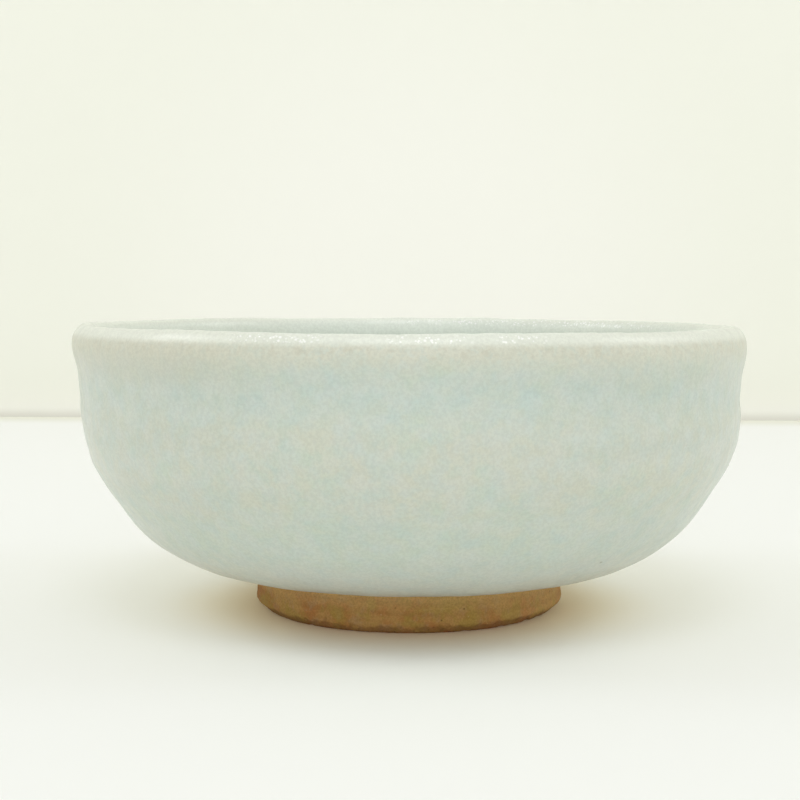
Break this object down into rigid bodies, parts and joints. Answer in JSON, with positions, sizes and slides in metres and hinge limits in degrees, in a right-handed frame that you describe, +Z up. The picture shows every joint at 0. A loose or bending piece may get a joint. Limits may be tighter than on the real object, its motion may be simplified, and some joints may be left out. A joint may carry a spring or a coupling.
{
  "type": "tea bowl",
  "caption": "Shallow round tea bowl with a rounded lip and waisted neck, glazed inside and out, on a bare clay foot ring.",
  "frame": {"origin": "centre of the circle that the foot ring stands on, at the bottom of the bowl", "axes": "+Z up along the bowl's axis of turning; +X and +Y are any two level directions at right angles"},
  "size_m": [0.14, 0.14, 0.0595],
  "materials": {
    "fired_clay": "matt fired stoneware, ochre brown",
    "bare_foot_clay": "matt bare fired stoneware, ochre brown",
    "outer_celadon": "satin milky celadon glaze, pale grey green",
    "inner_celadon": "satin milky celadon glaze, a little bluer"
  },
  "bodies": {
    "root": {"clay_body": "fired_clay", "foot_ring": "bare_foot_clay", "outer_glaze": "outer_celadon", "inner_glaze": "inner_celadon"}
  },
  "joints": []
}
